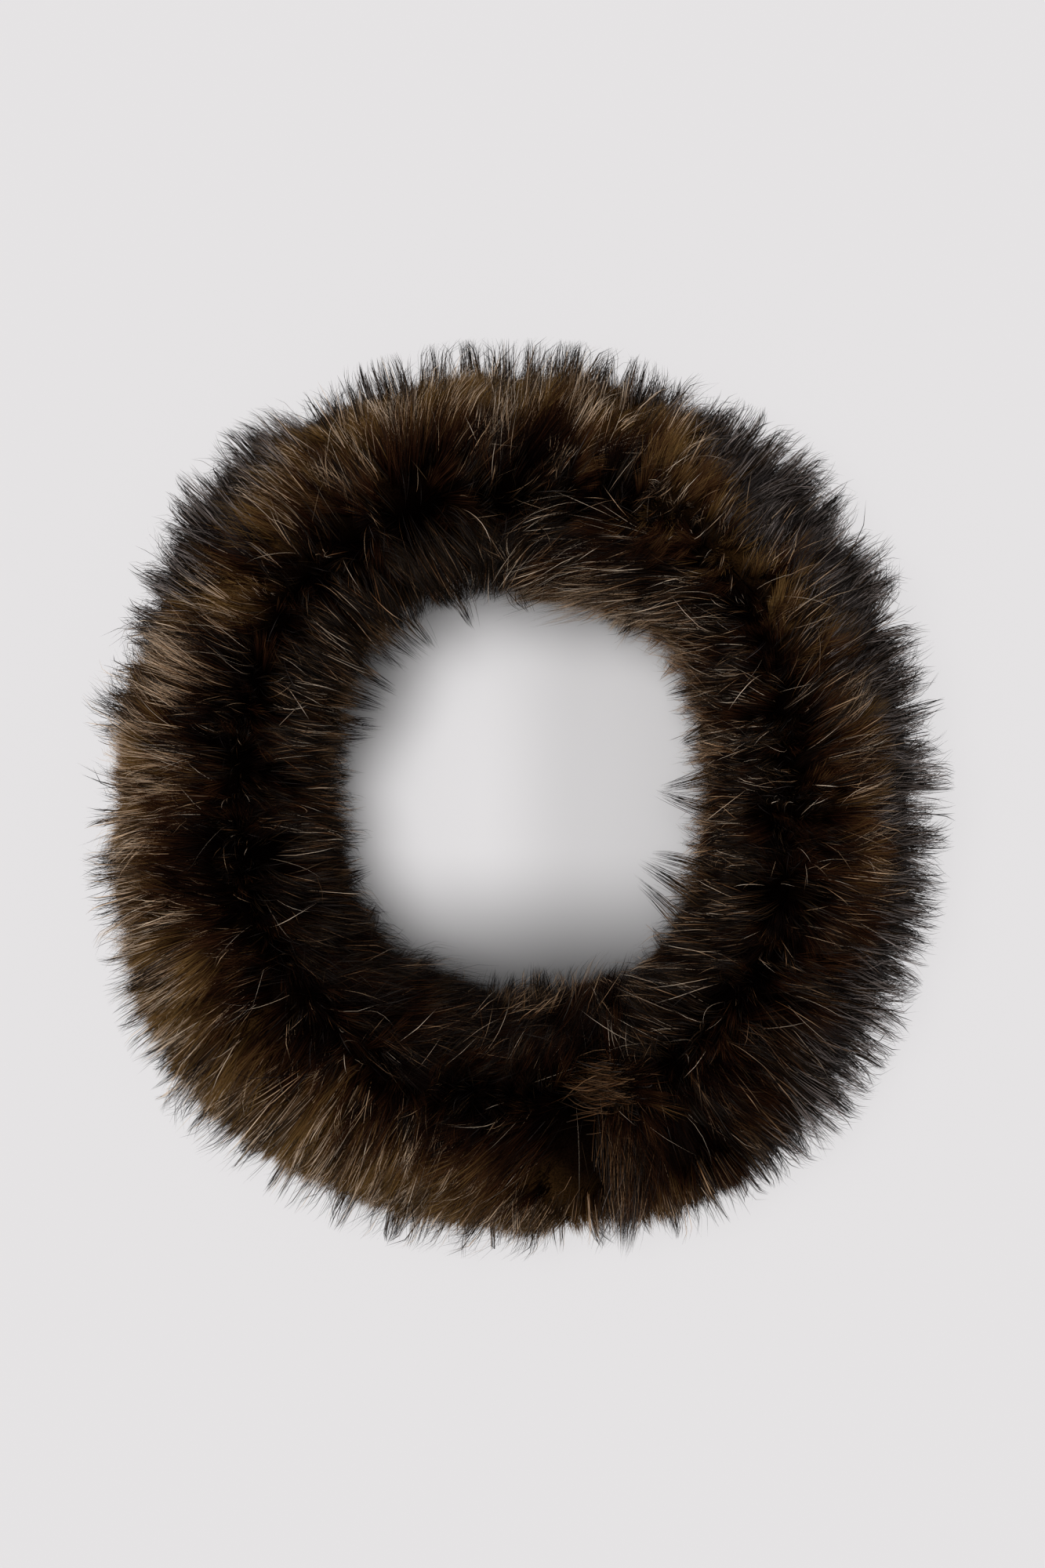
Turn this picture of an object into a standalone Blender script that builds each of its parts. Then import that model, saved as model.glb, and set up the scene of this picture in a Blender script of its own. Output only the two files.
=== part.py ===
"""Fur collar wrap, lying on a flat surface.

Two strips of fur cloth, an outer panel and a neck panel, are sewn together along a top seam and
an under seam into a tube. The tube lies round in a ring, and its two ends, sewn flat, meet at the
front. The pile of each panel is a plain solid of its reach, pressed flat underneath.

Every solid is a loft: closed sections, square to the ring, bridged one to the next. A point of a
section has a turn, the angle round the tube: 0 at the outer side, 90 on the top seam, 180 at the
neck and 270 on the under seam. The frame has +Z up, +Y to the back of the neck, and its origin
on the surface, under the middle of the collar's outline.
"""

import math
from collections import namedtuple

import bmesh
import bpy
from mathutils import Vector

MM = 0.001

# The cloth tube
GIRTH = 150 * MM  # once round the tube: the widths of the two panels together
CLOTH_THICKNESS = 2 * MM  # the knitted backing with the roots of the pile
ROOT_GAP = 0.5 * MM  # between a panel and its pile: over 0.2 mm everywhere, also where the tube leans
SEAM_TURN = 0.5  # degrees left free on each side of a seam: about 0.3 mm between the panels

# How far the pile stands off the cloth
OUTER_REACH = 34 * MM
TOP_REACH = 25 * MM
NECK_REACH = 22 * MM
CRUSHED_REACH = 8 * MM  # underneath, where the collar's own weight presses it
UNDERSIDE_SHARE = 0.6  # of the way down from the middle to the under seam, flat from there on

# The join at the front, where the two ends meet
JOIN_AZIMUTH = 282.5  # degrees from +X towards +Y
END_GAP = 0.3 * MM  # from each end to the join
END_LENGTH = 26 * MM  # over which the tube goes from round to its flat end seam
END_WIDTH_SHARE = 0.7
END_HEIGHT_SHARE = 0.18
NOTCH_LENGTH = 24 * MM
NOTCH_SHARE = 0.3  # of the pile's reach, lost at the join

# The collar in millimetres from the ring's axis: the edge of the neck hole, the top seam and the
# outer edge of the pile
Row = namedtuple("Row", "azimuth hole crest outer")
OUTLINE = (
    Row(0.0, 80, 129, 182),
    Row(22.5, 82, 133, 186),
    Row(45.0, 90, 140, 194),
    Row(67.5, 89, 136, 194),
    Row(90.0, 88, 126, 195),
    Row(112.5, 90, 130, 197),
    Row(135.0, 86, 136, 201),
    Row(157.5, 80, 131, 192),
    Row(180.0, 78, 125, 186),
    Row(202.5, 81, 119, 193),
    Row(225.0, 88, 120, 202),
    Row(247.5, 87, 121, 199),
    Row(270.0, 88, 130, 198),
    Row(292.5, 90, 138, 202),
    Row(315.0, 86, 139, 199),
    Row(337.5, 81, 127, 189),
)

# How finely the lofts are cut
RING_STEPS = 44
END_STEPS = 4  # sections more in each end, closer together towards the join
END_CROWDING = 1.6
TURN_STEPS = 8  # points on each face of a panel, from seam to seam

BACKING_COLOUR = (0.020, 0.013, 0.009, 1.0)
PILE_COLOUR = (0.060, 0.036, 0.019, 1.0)

# A slice of the tube, as a leaning ellipse: its centre, the half width and half height it would
# have upright, and how far its top leans outwards
Tube = namedtuple("Tube", "centre middle half_width half_height lean")


def eased(before, left, right, after, share):
    """A smooth value between left and right, from the four neighbours in a row."""
    slope_in = (right - before) / 2
    slope_out = (after - left) / 2
    rise = right - left
    curve = 3 * rise - 2 * slope_in - slope_out
    twist = slope_in + slope_out - 2 * rise
    return left + share * (slope_in + share * (curve + share * twist))


def rounded(distance, length):
    """0 at distance 0 and 1 from length on, rising as a quarter circle does."""
    missing = max(0.0, 1 - max(0.0, distance) / length)
    return math.sqrt(1 - missing**2)


def outline_at(azimuth):
    """(hole, crest, outer) at this azimuth, in metres from the ring's axis."""
    place = (azimuth % 360) / 360 * len(OUTLINE)
    first = int(place)
    rows = [OUTLINE[(first + step) % len(OUTLINE)] for step in (-1, 0, 1, 2)]
    return tuple(
        eased(*(getattr(row, column) for row in rows), place - first) * MM
        for column in ("hole", "crest", "outer")
    )


def tube_at(azimuth):
    """The slice of the tube at this azimuth, away from the join."""
    hole, crest, outer = outline_at(azimuth)
    inside = hole + NECK_REACH
    outside = outer - OUTER_REACH
    centre = (inside + outside) / 2
    reach = (outside - inside) / 2
    lean = crest - centre
    # An ellipse's girth is close to 2 pi times the quadratic mean of its half sizes.
    half_height = math.sqrt(2 * (GIRTH / (2 * math.pi)) ** 2 - reach**2)
    half_width = math.sqrt(reach**2 - lean**2)
    return Tube(centre, CRUSHED_REACH + half_height, half_width, half_height, lean)


def from_join(azimuth):
    """Distance to the join along the middle of the tube."""
    past = (azimuth - JOIN_AZIMUTH) % 360
    return math.radians(min(past, 360 - past)) * tube_at(azimuth).centre


def cloth_point(azimuth, turn, offset):
    """(distance from the axis, height) of the point this far off the cloth's outer face."""
    tube = tube_at(azimuth)
    fullness = math.sin(math.pi / 2 * min(1.0, from_join(azimuth) / END_LENGTH))
    width_share = END_WIDTH_SHARE + (1 - END_WIDTH_SHARE) * fullness
    height_share = END_HEIGHT_SHARE + (1 - END_HEIGHT_SHARE) * fullness
    across = math.cos(math.radians(turn))
    up = math.sin(math.radians(turn))
    sideways = (tube.half_width * width_share + offset) * across
    leaning = tube.lean * height_share * up
    height = tube.middle + (tube.half_height * height_share + offset) * up
    return tube.centre + sideways + leaning, height


def outer_face(azimuth, turn):
    return cloth_point(azimuth, turn, 0.0)


def inner_face(azimuth, turn):
    return cloth_point(azimuth, turn, -CLOTH_THICKNESS)


def pile_roots(azimuth, turn):
    return cloth_point(azimuth, turn, ROOT_GAP)


def pile_tips(azimuth, turn):
    """(distance from the axis, height) of the pile's outer surface, flat where it rests."""
    tube = tube_at(azimuth)
    notch = 1 - NOTCH_SHARE * (1 - rounded(from_join(azimuth), NOTCH_LENGTH))
    across = math.cos(math.radians(turn))
    up = math.sin(math.radians(turn))
    reach = OUTER_REACH if across > 0 else NECK_REACH
    widest = math.hypot(tube.half_width, tube.lean) + reach * notch
    # The leaning tube already reaches out to its widest between its side and its seam.
    distance = tube.centre + widest * across + tube.lean * up
    if up >= 0:
        height = tube.middle + (tube.half_height + TOP_REACH * notch) * up
    else:
        height = tube.middle * (1 - rounded(-up, UNDERSIDE_SHARE))
    return distance, height


def in_frame(azimuth, distance, height, shift):
    """The point of the frame at this azimuth, distance from the ring's axis and height."""
    angle = math.radians(azimuth)
    return Vector((distance * math.cos(angle), distance * math.sin(angle), height)) + shift


def to_middle():
    """The shift that brings the middle of the pile's outline to the origin."""
    edge = [in_frame(azimuth, *pile_tips(azimuth, 0), Vector()) for azimuth in range(360)]
    low = Vector(map(min, *edge))
    high = Vector(map(max, *edge))
    return Vector((-(low.x + high.x) / 2, -(low.y + high.y) / 2, 0.0))


def section_azimuths():
    """Azimuths of the sections from one end round to the other, closer together at the ends."""
    centre = tube_at(JOIN_AZIMUTH).centre
    gap = math.degrees(END_GAP / centre)
    start = JOIN_AZIMUTH + gap
    stop = JOIN_AZIMUTH + 360 - gap
    end_sweep = math.degrees(END_LENGTH / centre)
    shares = [(step / END_STEPS) ** END_CROWDING for step in range(END_STEPS)]
    body = stop - start - 2 * end_sweep
    return (
        [start + end_sweep * share for share in shares]
        + [start + end_sweep + body * step / RING_STEPS for step in range(RING_STEPS + 1)]
        + [stop - end_sweep * share for share in reversed(shares)]
    )


def panel_turns(first, last):
    """Turns of a panel's points, stopping short of the seams at first and last."""
    first += SEAM_TURN
    last -= SEAM_TURN
    return [first + (last - first) * step / (TURN_STEPS - 1) for step in range(TURN_STEPS)]


def loft(name, azimuths, turns, outside, inside, shift, material):
    """One solid: closed sections between two faces, bridged from end to end and capped."""
    bm = bmesh.new()
    loops = []
    for azimuth in azimuths:
        places = [outside(azimuth, turn) for turn in turns]
        places += [inside(azimuth, turn) for turn in reversed(turns)]
        corners = [bm.verts.new(in_frame(azimuth, *place, shift)) for place in places]
        loops.append([bm.edges.new(pair) for pair in zip(corners, corners[1:] + corners[:1])])
    for before, after in zip(loops, loops[1:]):
        bmesh.ops.bridge_loops(bm, edges=before + after)
    for end in (loops[0], loops[-1]):
        bmesh.ops.edgeloop_fill(bm, edges=end)
    bmesh.ops.triangulate(bm, faces=bm.faces[:], quad_method="SHORT_EDGE")
    bmesh.ops.recalc_face_normals(bm, faces=bm.faces[:])
    mesh = bpy.data.meshes.new(name)
    bm.to_mesh(mesh)
    bm.free()
    mesh.shade_smooth()
    mesh.set_sharp_from_angle(angle=math.radians(40))
    mesh.materials.append(material)
    solid = bpy.data.objects.new(name, mesh)
    bpy.context.scene.collection.objects.link(solid)


def new_material(name, colour, roughness):
    material = bpy.data.materials.new(name)
    material.use_nodes = True
    shader = material.node_tree.nodes["Principled BSDF"]
    shader.inputs["Base Color"].default_value = colour
    shader.inputs["Roughness"].default_value = roughness
    shader.inputs["Metallic"].default_value = 0.0
    return material


def clear_scene():
    for obj in list(bpy.data.objects):
        bpy.data.objects.remove(obj)


def build_collar():
    shift = to_middle()
    azimuths = section_azimuths()
    backing = new_material("knitted_backing", BACKING_COLOUR, 0.9)
    pile = new_material("fur_pile", PILE_COLOUR, 0.6)
    sides = {"outer": panel_turns(-90, 90), "neck": panel_turns(90, 270)}
    for side, turns in sides.items():
        loft(f"{side}_panel", azimuths, turns, outer_face, inner_face, shift, backing)
        loft(f"{side}_pile", azimuths, turns, pile_tips, pile_roots, shift, pile)


clear_scene()
build_collar()
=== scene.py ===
"""Fur collar wrap: the looks of a tube collar of long-pile fur, lying on a pale floor.

The collar is two strips of knitted backing sewn into a tube, with fur all over it. The frame holds
the cloth and the reach of its pile as plain solids. This script grows the coat between the two:
a dark undercoat, fine underfur, and long guard hair in locks, combed out to both sides of the top
seam, with stray hairs and tufts at the join and round the neck hole.

A place in the coat has an azimuth round the ring, a turn round the tube and a depth, 0 on the
cloth and 1 at the tips of the pile. Azimuth 0 is at +X and grows towards +Y. Turn 0 is at the
outer side, 90 degrees on top and 180 at the neck.
"""

import math
from collections import namedtuple

import bmesh
import bpy
import numpy as np
from bpy.props import FloatProperty, FloatVectorProperty, IntProperty, PointerProperty
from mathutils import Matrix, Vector
from mathutils.bvhtree import BVHTree


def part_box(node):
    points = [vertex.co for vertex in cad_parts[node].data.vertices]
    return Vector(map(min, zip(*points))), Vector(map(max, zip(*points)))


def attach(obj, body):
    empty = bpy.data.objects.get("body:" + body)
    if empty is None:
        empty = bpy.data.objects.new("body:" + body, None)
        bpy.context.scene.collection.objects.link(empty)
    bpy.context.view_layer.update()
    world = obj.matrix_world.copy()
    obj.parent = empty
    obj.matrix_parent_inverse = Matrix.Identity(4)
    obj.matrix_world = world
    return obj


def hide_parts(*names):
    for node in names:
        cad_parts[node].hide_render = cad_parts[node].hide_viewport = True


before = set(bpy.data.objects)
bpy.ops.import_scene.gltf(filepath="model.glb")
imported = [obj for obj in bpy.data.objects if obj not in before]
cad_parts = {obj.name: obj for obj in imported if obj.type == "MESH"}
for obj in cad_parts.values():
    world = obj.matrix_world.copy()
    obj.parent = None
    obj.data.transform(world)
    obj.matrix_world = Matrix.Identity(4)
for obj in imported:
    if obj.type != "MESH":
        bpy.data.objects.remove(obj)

bl_info = {
    "name": "Fur collar wrap",
    "version": (1, 0, 0),
    "blender": (4, 5, 0),
    "location": "View3D > Sidebar > Fur collar",
    "description": "Grows the coat of a fur collar on its cloth tube and sets it on a floor",
    "category": "Object",
}

MM = 0.001
TAU = math.tau
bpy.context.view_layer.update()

OUTER_PANEL, NECK_PANEL = "outer_panel", "neck_panel"
OUTER_PILE, NECK_PILE = "outer_pile", "neck_pile"

# The body that everything rides on
BODY = "root"

# Colours, as sRGB
FLOOR_COLOUR = "#E2E0E1"
BACKING_COLOUR = "#241B15"

# The stage: a floor that runs far past the collar and a camera over the ring, in metres, a long
# lens, in millimetres, one broad lamp and an even white room. The lamp's angles are degrees.
FLOOR_REACH = 12.0
CAMERA_PLACE = (3.3 * MM, 7.0 * MM, 1.635)
LENS, SENSOR_WIDTH = 81.0, 36.0
LAMP_POWER, LAMP_SPREAD, LAMP_TILT, LAMP_BEARING = 2.4, 45, 17, 150
ROOM_STRENGTH = 0.36

# The floor's board: how bright it glows outside the collar, how much of its colour is paint there,
# and the middle of the painted shadow at the back left of the neck hole
BOARD_GLOW, BOARD_PAINT = 0.87, 0.15
PAINTED_SHADOW_SPOT = (-78 * MM, 56 * MM, 0.0)

# How the fur lies round the ring, as a hand left it. Sweeps are degrees from straight off the top
# seam, and more than 0 towards growing azimuth. Hair rooted under the turn of skirt, in degrees,
# is grey with black tips. body and hole are the reach of the coat over the outer side and over
# the neck side, as shares of the pile's depth, and tips is that of the outer side's longest hair.
# velvet is how much of body the underfur fills. fringe is the share of the outer side's tufts that
# stand out past the body. The tones say how much gold and tan shows on each side: partly the dye's
# own variety and partly painted light and shade, lowest where the hair should lie in shade, such
# as the outer side away from the lamp.
Comb = namedtuple(
    "Comb",
    "azimuth outer_sweep neck_sweep skirt body velvet tips hole fringe outer_tone neck_tone",
)
COMBING = (
    Comb(0, 5, 0, 52, 0.96, 0.90, 1.40, 0.88, 0.65, 0.95, 0.9),
    Comb(20, 8, 30, 67, 0.93, 0.89, 1.34, 0.80, 0.65, 0.85, 1.25),
    Comb(45, 0, 60, 78, 0.98, 0.88, 1.36, 0.78, 0.65, 0.9, 1.7),
    Comb(62, -10, 70, 58, 1.06, 0.90, 1.34, 1.10, 0.65, 0.8, 1.75),
    Comb(75, -20, 55, 8, 1.04, 0.96, 1.46, 0.56, 0.55, 1.25, 1.4),
    Comb(90, -26, 25, -10, 0.98, 0.97, 1.56, 0.45, 0.55, 1.5, 0.85),
    Comb(105, -18, 5, -10, 0.99, 0.97, 1.54, 0.35, 0.55, 1.5, 0.2),
    Comb(118, 10, -5, 25, 1.07, 0.93, 1.36, 0.50, 0.6, 1.15, 0.2),
    Comb(138, 5, 0, 62, 1.10, 0.91, 1.38, 0.58, 0.65, 1.25, 0.5),
    Comb(158, 0, 0, 5, 0.81, 0.94, 1.18, 0.63, 0.4, 1.1, 0.75),
    Comb(185, -8, 5, -28, 1.09, 0.95, 1.40, 0.85, 0.38, 1.05, 0.45),
    Comb(210, -3, 60, -28, 1.21, 0.96, 1.50, 0.86, 0.38, 1.2, 0.08),
    Comb(235, -3, 65, -22, 1.09, 0.96, 1.40, 1.02, 0.38, 1.2, 0.08),
    Comb(255, -20, 50, -25, 1.10, 0.97, 1.56, 0.80, 0.35, 1.2, 0.3),
    Comb(277, -30, 40, -28, 1.16, 0.98, 1.50, 1.24, 0.35, 0.95, 0.6),
    Comb(288, -10, 35, -28, 1.24, 0.98, 1.54, 1.16, 0.35, 0.65, 0.6),
    Comb(299, 4, -50, 10, 1.13, 0.95, 1.50, 0.66, 0.42, 0.4, 0.6),
    Comb(320, 15, -45, 52, 0.90, 0.92, 1.60, 0.73, 0.6, 0.1, 0.6),
    Comb(343, 5, -8, 50, 0.99, 0.90, 1.44, 0.82, 0.65, 0.55, 0.8),
)

# The same for the neck side, all round: the share of hole that the underfur fills, the share of
# tufts that stand out past it, and how far past it the longest hair goes
NECK_VELVET, NECK_FRINGE, NECK_OVER = 0.89, 0.34, 0.36

# How the fur lies over the tube. slide is how far the tip of a hair lies from over its root, in
# millimetres along the turn: under 0 where it falls outwards, over 0 towards the neck hole, and to
# both sides underneath, where the floor presses it. tousle is how far a lock strays from there:
# most on top, where the hair stands up and falls both ways. gold is how far the underfur goes from
# black-brown, 0, to golden, 1, which is partly its dye and partly painted shade: near 0 on top,
# where the hair stands up and one looks down into its depth, and low on the neck side. full is how
# much of the underfur's reach is packed.
Nap = namedtuple("Nap", "turn slide tousle gold full")
NAP = (
    Nap(-90, 18, 2, 0.5, 0.78),
    Nap(-50, 12, 2, 0.8, 0.78),
    Nap(-18, -2, 2, 1.0, 0.78),
    Nap(10, -20, 2, 1.0, 0.77),
    Nap(32, -30, 2, 0.95, 0.70),
    Nap(52, -30, 2.5, 0.62, 0.62),
    Nap(68, -26, 3.5, 0.22, 0.55),
    Nap(83, -15, 5, 0.02, 0.48),
    Nap(97, 10, 5, 0.0, 0.48),
    Nap(112, 19, 3.5, 0.0, 0.50),
    Nap(132, 25, 2.5, 0.1, 0.58),
    Nap(155, 25, 2, 0.4, 0.70),
    Nap(180, 13, 2, 0.7, 0.76),
    Nap(205, 0, 2, 0.6, 0.78),
    Nap(235, -10, 2, 0.5, 0.78),
    Nap(270, -18, 2, 0.5, 0.78),
)

# Places that the hair fans away from, so that its dark roots show: degrees of azimuth and turn,
# and millimetres of size and push. Round each, painted shadow darkens the hair: the bare middle is
# a little smaller than the fan, and from FULL_PUSH on the painted shadow is full, as dark as the
# roots.
Whorl = namedtuple("Whorl", "azimuth turn size push")
WHORLS = (
    Whorl(18, 94, 11, 7), Whorl(52, 94, 13, 8), Whorl(72, 103, 16, 9), Whorl(90, 97, 19, 11),
    Whorl(104, 126, 12, 8), Whorl(110, 98, 30, 16), Whorl(123, 112, 18, 11), Whorl(133, 84, 12, 8),
    Whorl(156, 97, 12, 8), Whorl(175, 109, 14, 11), Whorl(193, 100, 13, 10),
    Whorl(203, 114, 13, 9), Whorl(215, 129, 11, 7), Whorl(222, 86, 12, 8), Whorl(237, 121, 12, 8),
    Whorl(247, 92, 15, 8), Whorl(262, 124, 10, 7), Whorl(283, 88, 27, 17), Whorl(298, 62, 16, 10),
    Whorl(318, 96, 13, 8), Whorl(341, 88, 14, 8),
)
BARE_SHARE, FULL_PUSH = 0.8, 14
# The share of its gold and tan that hair loses where it is parted is painted shadow
ROOT_SHADOW = 0.8  # of its gold and tan that hair loses where it is bare

# Tufts of a few dark hairs that stand into the neck hole: the azimuth of the root, and the azimuth
# and distance from the ring's axis of the tip, in degrees and millimetres
HOLE_TUFTS = (
    (107, 105, 79), (122, 119, 76), (129, 126, 76), (142, 140, 73), (156, 153, 67), (159, 152, 71),
    (136, 133, 76), (148, 144, 71), (152, 148, 72), (163, 158, 69), (168, 165, 74), (177, 175, 74),
    (262, 263, 79), (267, 269, 78), (276, 277, 75), (278, 279, 77), (322, 325, 66), (331, 333, 65),
    (356, 2, 63), (7, 4, 66), (54, 58, 85), (238, 243, 82), (247, 252, 83), (262, 259, 84),
    (90, 86, 82), (20, 17, 78), (30, 33, 80), (205, 207, 76), (222, 218, 80), (338, 336, 67),
)

# The least and the most of such a tuft's hairs, of its root's turn in degrees, and of its tip's
# height in millimetres
HOLE_HAIRS, HOLE_TURNS, HOLE_HEIGHTS = (28, 48), (150, 172), (30, 50)

# Creases across the cloth of the tube, where it is bent round: the place of the middle in degrees,
# the slant in degrees, and the size and depth in millimetres
Crease = namedtuple("Crease", "azimuth turn slant length width depth")
CREASES = (
    Crease(12, 150, 8, 46, 15, 1.1), Crease(41, 186, -12, 60, 18, 1.2),
    Crease(66, 20, 10, 40, 16, 0.8), Crease(97, 172, 5, 52, 14, 1.0),
    Crease(124, 205, -6, 44, 17, 1.2), Crease(149, 140, 14, 38, 15, 0.7),
    Crease(171, 190, -4, 58, 19, 1.1), Crease(203, 35, 9, 36, 16, 0.6),
    Crease(219, 178, 12, 50, 15, 1.0), Crease(248, 195, -9, 42, 18, 1.2),
    Crease(316, 182, 7, 54, 16, 1.1), Crease(338, 160, -10, 40, 14, 0.9),
)

# Shades, as places on the map of the guard hair, and how far one hair strays from its shade. The
# tan shade is partly painted highlight, and the silver one paints glints.
BLACK, TAN_AND_HIGHLIGHT, SILVER_GLINT = 0.22, 0.76, 0.93
SHADE_NOISE = 0.02

# Widths of single hairs at the root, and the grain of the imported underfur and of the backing
LOOSE_WIDTH, TUFT_WIDTH = 0.13 * MM, 0.25 * MM
PACKED_GRAIN, KNIT_STITCH = 0.8 * MM, MM / 0.9

# The tufts that cover the place where the two ends meet: two that fall across it and three that
# hang out over the outer edge. The root is given in degrees and the tip in degrees and
# millimetres. spread is how far apart the roots are, in millimetres, and the tips keep fan of
# that. arch is how many millimetres the middle of the tuft rises over a straight line.
JoinTuft = namedtuple(
    "JoinTuft", "hairs azimuth turn tip_azimuth tip_out tip_height spread fan arch shades"
)
JOIN_TUFTS = (
    JoinTuft(230, 283.5, 110, 293.0, 136, 51, 11, 0.9, 4, (0.22, 0.22, 0.47, 0.54, 0.56)),
    JoinTuft(230, 285.0, 92, 294.5, 150, 47, 11, 0.9, 5, (0.22, 0.22, 0.47, 0.54, 0.58)),
    JoinTuft(300, 289.0, 68, 282.6, 205, 20, 7, 0.8, 10, (0.22, 0.22, 0.22, 0.48, 0.58)),
    JoinTuft(450, 288.5, 40, 283.4, 213, 10, 6, 0.4, 9, (0.5, 0.7, 0.22, 0.22, 0.22)),
    JoinTuft(30, 287.5, 30, 279.5, 214, 8, 5, 0.5, 9, (0.06, 0.22, 0.24)),
)


def linear(hex_colour):
    """The linear RGBA of an sRGB hex colour."""
    parts = [int(hex_colour[place : place + 2], 16) / 255 for place in (1, 3, 5)]
    return [x / 12.92 if x <= 0.04045 else ((x + 0.055) / 1.055) ** 2.4 for x in parts] + [1.0]


def node(tree, kind, values=None, links=None, **settings):
    """Adds a shader node to the tree, sets its properties and values, and links what feeds it."""
    made = tree.nodes.new("ShaderNode" + kind)
    for name, value in settings.items():
        setattr(made, name, value)
    for socket, value in (values or {}).items():
        made.inputs[socket].default_value = value
    for socket, source in (links or {}).items():
        tree.links.new(source, made.inputs[socket])
    return made


def set_ramp(ramp_node, stops):
    """Fills a Color Ramp node from (place, linear colour) stops."""
    ramp = ramp_node.color_ramp
    while len(ramp.elements) > 1:
        ramp.elements.remove(ramp.elements[-1])
    ramp.elements[0].position, ramp.elements[0].color = stops[0]
    for position, colour in stops[1:]:
        ramp.elements.new(position).color = colour


def smooth_step(value, low, high):
    """0 up to low and 1 from high on, easing in between."""
    share = np.clip((value - low) / (high - low), 0.0, 1.0)
    return share * share * (3 - 2 * share)


def periodic(angle, stations, values):
    """values read at angle, in radians, between stations in degrees that close on themselves."""
    return np.interp(np.degrees(angle) % 360, stations, values, period=360)


def off_the_tube(azimuth, turn):
    """The direction from the tube's middle towards this place."""
    across = math.cos(turn)
    return Vector((across * math.cos(azimuth), across * math.sin(azimuth), math.sin(turn)))


def joined_tree(names):
    """One BVH tree over the named nodes of the frame."""
    shape = bmesh.new()
    for name in names:
        shape.from_mesh(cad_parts[name].data)
    tree = BVHTree.FromBMesh(shape)
    shape.free()
    return tree


class Coat:
    """The space between the cloth and the tips of its pile, read from the frame's solids."""

    AZIMUTHS = 120  # stations round the ring
    TURNS = 90  # and round the tube
    FAR = 90 * MM  # from the tube's middle, clear of the collar's other side
    OUTSIDE = 1.0  # metres from the ring's axis, clear of the whole collar
    LOWEST = 0.4 * MM  # hair that reaches the floor lies on it at this height

    def __init__(self):
        low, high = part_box(NECK_PANEL)
        self.axis = np.array([(low.x + high.x) / 2, (low.y + high.y) / 2])
        self.middle = (low.z + high.z) / 2
        cloth = joined_tree((OUTER_PANEL, NECK_PANEL))
        pile = joined_tree((OUTER_PILE, NECK_PILE))
        self.centre = np.array([self.tube_centre(cloth, i) for i in range(self.AZIMUTHS)])
        self.cloth = self.measured(cloth)
        self.tips = self.measured(pile)

    def spot(self, azimuth, out, height):
        """The frame's point this far out from the ring's axis."""
        x, y = self.axis[0] + out * np.cos(azimuth), self.axis[1] + out * np.sin(azimuth)
        return np.stack([x, y, height + np.zeros_like(out)], axis=-1)

    def tube_centre(self, cloth, station):
        """How far out the tube's middle is, from rays out of the hole and in from outside."""
        azimuth = station / self.AZIMUTHS * TAU
        outwards = Vector((math.cos(azimuth), math.sin(azimuth), 0))
        start = Vector((*self.axis, self.middle))
        near = cloth.ray_cast(start, outwards)[3]
        far = cloth.ray_cast(start + outwards * self.OUTSIDE, -outwards)[3]
        return (near + self.OUTSIDE - far) / 2

    def measured(self, tree):
        """The outer face's distance from the tube's middle, for each azimuth and turn."""
        reach = np.zeros((self.AZIMUTHS, self.TURNS))
        for row, centre in enumerate(self.centre):
            azimuth = row / self.AZIMUTHS * TAU
            for column in range(self.TURNS):
                turn = column / self.TURNS * TAU
                ray = off_the_tube(azimuth, turn)
                start = Vector(self.spot(azimuth, centre, self.middle))
                hit = tree.ray_cast(start + ray * self.FAR, -ray)[3]
                reach[row, column] = self.FAR - hit if hit else 0.0
        # A ray that slips through a seam hits the far side, so each value is the median of three.
        sides = [np.roll(reach, 1, axis=1), reach, np.roll(reach, -1, axis=1)]
        return np.median(sides, axis=0)

    def read(self, table, azimuth, turn):
        """The table's values between its four nearest stations."""
        rows, columns = table.shape
        down = azimuth / TAU * rows
        along = turn / TAU * columns
        row, column = np.floor(down).astype(int), np.floor(along).astype(int)
        down, along = down - row, along - column
        left, right = column % columns, (column + 1) % columns
        first, second = (
            table[at % rows, left] * (1 - along) + table[at % rows, right] * along
            for at in (row, row + 1)
        )
        return first * (1 - down) + second * down

    def centre_at(self, azimuth):
        """How far out from the ring's axis the tube's middle is."""
        stations = np.arange(self.AZIMUTHS) * 360 / self.AZIMUTHS
        return periodic(azimuth, stations, self.centre)

    def radius(self, azimuth, turn, depth):
        """How far from the tube's middle this place is."""
        cloth = self.read(self.cloth, azimuth, turn)
        return cloth + depth * (self.read(self.tips, azimuth, turn) - cloth)

    def out(self, azimuth, turn, depth):
        """How far out from the ring's axis this place is."""
        return self.centre_at(azimuth) + self.radius(azimuth, turn, depth) * np.cos(turn)

    def point(self, azimuth, turn, depth):
        """The frame's point at this place, no lower than the floor lets it lie."""
        height = self.middle + self.radius(azimuth, turn, depth) * np.sin(turn)
        height = np.maximum(height, self.LOWEST)
        return self.spot(azimuth, self.out(azimuth, turn, depth), height)


COAT = Coat()


def waves(seed, around, over, count=14):
    """A smooth random field over azimuth and turn, mostly within -1 to 1: the sum of count waves,
    with up to around of them in the ring and up to over of them in the tube, so that it closes."""
    rng = np.random.default_rng(seed)
    pitch = rng.integers(-around, around + 1, count)
    rise = rng.integers(-over, over + 1, count)
    phase = rng.uniform(0, TAU, count)

    def field(azimuth, turn):
        total = np.zeros_like(azimuth)
        for step in range(count):
            total += np.sin(pitch[step] * azimuth + rise[step] * turn + phase[step])
        return total / math.sqrt(count)

    return field


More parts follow.
